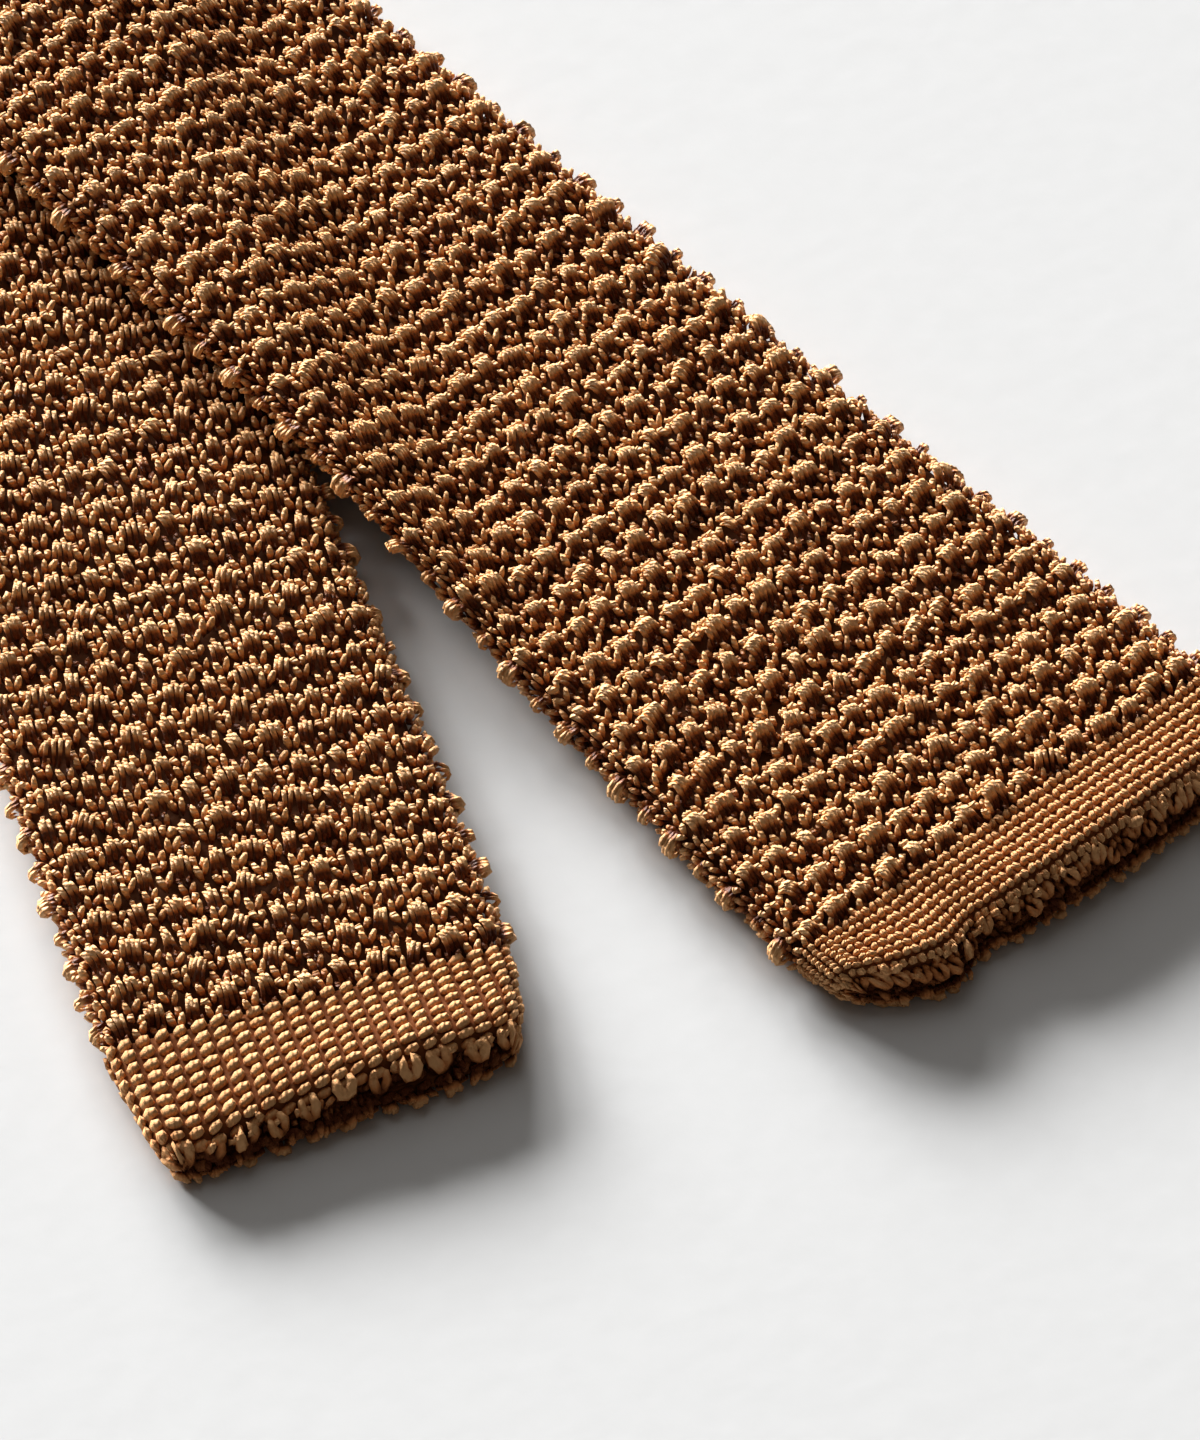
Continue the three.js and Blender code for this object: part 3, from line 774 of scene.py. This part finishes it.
def add_bundles(chart, chance, row, spot, threads, spread, tall):
    """Bundles of threads over the tuck stitches of one place in the pattern."""
    if not row.fine:
        threads, spread = max(threads - 2, 2), spread * 1.8
    where = row.q[(row.place == spot) & ~row.on_fold]
    count = len(where)
    lean, shift, rise, wide = (chance.normal(0, sigma, count) for sigma in BUNDLE_DISORDER)
    for thread in range(threads):
        edge = 2 * thread / (threads - 1) - 1  # -1 and 1 at the bundle's two sides
        beside = edge * (threads - 1) / 2 * spread * row.size * (1 + wide)
        turn = np.column_stack([chance.normal(0, 0.08, count),
                                np.full(count, -0.12 * edge * math.cos(row.facing)), row.facing + lean])
        along = row.s + row.away * (0.1 + shift - 0.15 * edge**2) + lean * beside
        size = np.column_stack([np.full(count, row.size), np.full(count, 1.0), tall * (1 + 0.8 * wide)])
        chart.add(where + beside, along, rise - 0.12 * edge**2, row.wrap, turn, size)
    # stitches sit deep in the hollow in front of each bundle, and painted shade makes them darker
    for leg in (-1, 1):
        chart.add(where + leg * 0.5 * row.size, row.s - row.away * HOLLOW_PLACE * row.pitch, HOLLOW_DEPTH,
                  row.grain, (0.2, 0, row.facing - row.away * leg * 0.4), (0.85 * row.size, 1.9, 0.8))
    if row.fine:
        # small bumps stand behind the ridge
        for bump in range(threads - 2):
            beside = (bump - (threads - 3) / 2) * spread * 1.5 * row.size
            turn = (0.35, 0, row.facing + chance.normal(0, 0.3))
            chart.add(where + beside, row.s + row.away * (BUMP_PLACE + shift), rise - BUMP_DEPTH, GRAIN, turn,
                      (0.75 * row.size, 1.2, 0.9))


def add_knobs(chart, chance, row):
    """A knob on each folded edge, larger in every second row."""
    places, size = LARGE_KNOB if row.number % 2 == 0 else SMALL_KNOB
    for hand in (-1, 1):
        lean, out = chance.normal(0, 0.25), chance.normal(0.1, 0.2)
        for at in places if row.fine else places[1::2]:
            chart.add(hand * (row.flat + KNOB_SHARE * math.pi * FOLD), row.s + row.away * 0.3 + at * 0.62,
                      out - 0.12 * at * at, row.wrap, (0.15 * at, 0, -hand * math.pi / 2 + lean), size)


def bumpy_chart(s_from, s_to, seed):
    """The chart of all rows from s_from to s_to."""
    chart, chance = Chart(), np.random.default_rng(seed)
    for number in np.flatnonzero((ROWS >= s_from) & (ROWS < s_to)):
        row = Row(number)
        add_vees(chart, chance, row)
        add_underside(chart, row)
        for bundle in BLADE_BUNDLES if row.at_blade else TAIL_BUNDLES:
            add_bundles(chart, chance, row, *bundle)
        add_knobs(chart, chance, row)
    return chart.done()


# %% Knit the blade, the neck and the tail
NECK_MIDDLE = TIE_LENGTH / 2
# Each piece: from, to, and its seed
BUMPY_PARTS = {
    "front_stitches_near": (0, 115, 3),
    "front_stitches_middle": (115, FINE_BLADE, 5),
    "front_stitches_far": (FINE_BLADE, NECK_START, 7),
    "neck_stitches_left": (NECK_START, NECK_MIDDLE, 11),
    "neck_stitches_right": (NECK_MIDDLE, NECK_END, 13),
    "tail_stitches_far": (NECK_END, FINE_TAIL, 17),
    "tail_stitches_near": (FINE_TAIL, TIE_LENGTH, 19),
}
stitches = {}
for name, (s_from, s_to, seed) in BUMPY_PARTS.items():
    yarn = far_silk if FINE_BLADE <= s_from < FINE_TAIL else bumpy_silk
    stitches[name] = plant(name, bumpy_chart(s_from, s_to, seed), yarn, seed)
print("knitted after", round(time.time() - began, 1), "s")

# %% [markdown]
# ## The plain bands and their last rows
# Both ends finish in a band of plain stitches that rolls over the layer's edge. On the blade a stitch shows
# as two lobes of yarn, on the tail as one. The last rows are strings of thick loops, two on the upper layer
# and one on the lower, with loose ends of stitches between them.


# %% The chart of a plain band
COURSE = 1.44  # pitch of a band's rows
ROLLED_OVER = 3.2  # how far the rows go on past the end, on the lip
LOOP_SPACING = 3.8
# Each string of loops: on the upper layer or not, place from the end, height, size, shift round the lip
LOOP_ROWS = ((True, -1.2, 0.25, 1.0, 0), (True, -3.5, 0.1, 0.85, 1.9), (False, -0.3, 0.2, 0.72, 0))
LOOSE_SPACING = 0.4  # round the lip, between loose ends of stitches


def band_chart(at_blade, seed):
    """The chart of one plain band with the loops of its last row."""
    chart, chance = Chart(), np.random.default_rng(seed)
    if at_blade:
        hem, column, facing, end = BLADE_HEM, BLADE_COLUMN, 0.0, 0.0
        legs, lobe_size, loop_sides, loop_size = (-1, 1), (0.48, 1.25, 0.95), (-0.95, 0.95), (0.62, 0.7)
    else:
        hem, column, facing, end = TAIL_HEM, TAIL_COLUMN, math.pi, TIE_LENGTH
        legs, lobe_size, loop_sides, loop_size = (0,), (1.08, 1.3, 0.85), (0.0,), (1.0, 1.05)
    reach = float(half_round(np.array([end]))[0])

    def along(from_end):
        return from_end if at_blade else TIE_LENGTH - from_end

    half_count = int(reach / column)
    columns = np.arange(-half_count, half_count + 1)
    level = np.zeros(len(columns))
    for course in range(int((hem + ROLLED_OVER) / COURSE) + 1):
        from_end = hem - 0.3 - course * COURSE
        for leg in legs:
            lift = -0.25 + chance.normal(0, 0.06, len(columns))
            lean = chance.normal(0.12 + 0.3 * leg, 0.1, len(columns))
            turn = np.column_stack([level, level, facing + lean])
            chart.add(columns * column + leg * 0.47, along(from_end), lift, LOBE, turn, lobe_size)
    half_count = int(reach / LOOP_SPACING)
    loops = np.arange(-half_count, half_count + 1) * LOOP_SPACING
    for upper, at, height, wide, off in LOOP_ROWS:
        picked = loops[(np.abs(loops) < reach / 2) == upper]
        count = len(picked)
        for side in loop_sides:
            turn = np.column_stack([chance.normal(0, 0.25, count), chance.normal(0, 0.25, count),
                                    facing + chance.normal(0, 0.2 + 0.25 * abs(side), count)])
            size = np.column_stack([chance.normal(wide * loop_size[0], 0.07, count),
                                    chance.normal(wide * loop_size[1], 0.1, count), np.full(count, 0.9)])
            chart.add(picked + off + side + chance.normal(0, 0.2, count),
                      along(at + chance.normal(0, 0.35, count)), height + chance.normal(0, 0.2, count), LOOP,
                      turn, size)
    # loose ends of stitches crowd the lip between the loops
    count = int(2 * reach / LOOSE_SPACING)
    turn = chance.normal((0, 0, facing), (0.35, 0.35, 0.6), (count, 3))
    chart.add(chance.uniform(-reach, reach, count), along(chance.uniform(-4.5, 0.2, count)),
              chance.uniform(-0.3, 0.5, count), EAR, turn, (1.3, 0.9, 1.2))
    return chart.done()


for name, at_blade, seed in (("front_hem_stitches", True, 23), ("tail_hem_stitches", False, 29)):
    chart = band_chart(at_blade, seed)
    stitches[name] = plant(name, chart, plain_silk, seed, wobble=0.08, stray=0.05)

# %% [markdown]
# ## Hiding each solid, and fixing its shell and stitches to the tie's body
# Each cloth shell stands for the solid of its piece, and its stitches lie on it.

PIECES = {
    "front_hem_cloth": ("front_hem_band", ["front_hem_stitches"], BLADE_HEM, 5, "plain_knit"),
    "front_cloth": ("front_blade", ["front_stitches_near", "front_stitches_middle", "front_stitches_far"],
                    NECK_START - BLADE_HEM, 200, "bumpy_knit"),
    "neck_cloth": ("neck_band", ["neck_stitches_left", "neck_stitches_right"], NECK_END - NECK_START, 735,
                   "bumpy_knit"),
    "tail_cloth": ("tail_blade", ["tail_stitches_far", "tail_stitches_near"], TAIL_BAND - NECK_END, 1280,
                   "bumpy_knit"),
    "tail_hem_cloth": ("tail_hem_band", ["tail_hem_stitches"], TAIL_HEM, 1465, "plain_knit"),
}
for name, (node, on_it, length, measured_at, slot) in PIECES.items():
    piece, dressed = shells[name], [stitches[other] for other in on_it]
    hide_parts(node)
    length * MM
    for part in (piece, *dressed):
        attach(part, "root")
print("triangles of the stitches:", sum(triangles_of(piece.data) for piece in stitches.values()))

# %% [markdown]
# ## The table, the light and the camera
# The tie lies on a pale, nearly white table. A wide window stands low behind it, as three lamps side by
# side, and a faint sky above, so the stitches are bright on top and dark in front, with soft shadows towards
# the camera. The camera is a long lens that looks steeply down.

# %% The table
def pale_table():
    finish = Finish("pale table")
    patch = finish.noise(260.0, 4.0)
    finish.bumped(patch, 0.15, 0.0002)
    colour = finish.mix(patch, (0.60, 0.60, 0.597, 1), (0.63, 0.63, 0.627, 1))
    finish.fill({"Base Color": colour, "Roughness": 0.65})
    return finish.material


TABLE_RADIUS = 8.0  # metres, so that its edge is never in view
bpy.ops.mesh.primitive_circle_add(vertices=96, radius=TABLE_RADIUS, fill_type="NGON", location=(0, 0, 0))
table = bpy.context.object
table.name = table.data.name = "table"
table.data.materials.append(pale_table())

# %% The light
world = bpy.data.worlds.new("studio")
bpy.context.scene.world = world
world.use_nodes = True
background = world.node_tree.nodes["Background"]
background.inputs["Color"].default_value = (1.0, 0.9, 0.8, 1)
background.inputs["Strength"].default_value = 0.08
DAYLIGHT = (0.99, 0.995, 1.0)
# Each lamp: name, power, width, azimuth from +Y towards -X, elevation, the last three in degrees
for name, power, width, azimuth, elevation in (
    ("window left", 4.5, 16, 14, 15.8),
    ("window middle", 5.3, 16, -2, 15.8),
    ("window right", 2.8, 16, -18, 15.8),
    ("sky", 0.5, 55, -2, 50),
):
    lamp = bpy.data.lights.new(name, "SUN")
    lamp.energy, lamp.angle, lamp.color = power, math.radians(width), DAYLIGHT
    lamp_object = bpy.data.objects.new(name, lamp)
    bpy.context.scene.collection.objects.link(lamp_object)
    lamp_object.rotation_euler = (-math.radians(90 - elevation), 0, math.radians(azimuth))

# %% The camera
camera = bpy.data.cameras.new("camera")
camera.lens, camera.sensor_width = 245.25, 36.0
camera.clip_start, camera.clip_end = 0.01, 50.0
camera_object = bpy.data.objects.new("camera", camera)
bpy.context.scene.collection.objects.link(camera_object)
bpy.context.scene.camera = camera_object
eye, target = Vector((-0.3265, -0.88675, 0.8471)), Vector((0.01025, -0.2891, 0.0))
camera_object.location = eye
camera_object.rotation_mode = "QUATERNION"
camera_object.rotation_quaternion = (target - eye).to_track_quat("-Z", "Y")
bpy.context.scene.view_settings.view_transform = "Standard"

# %% Clearing the yarn shapes away
for shape in list(yarn_shapes.objects):
    bpy.data.objects.remove(shape)
bpy.data.collections.remove(yarn_shapes)
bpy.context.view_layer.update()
print("built in", round(time.time() - began, 1), "s")
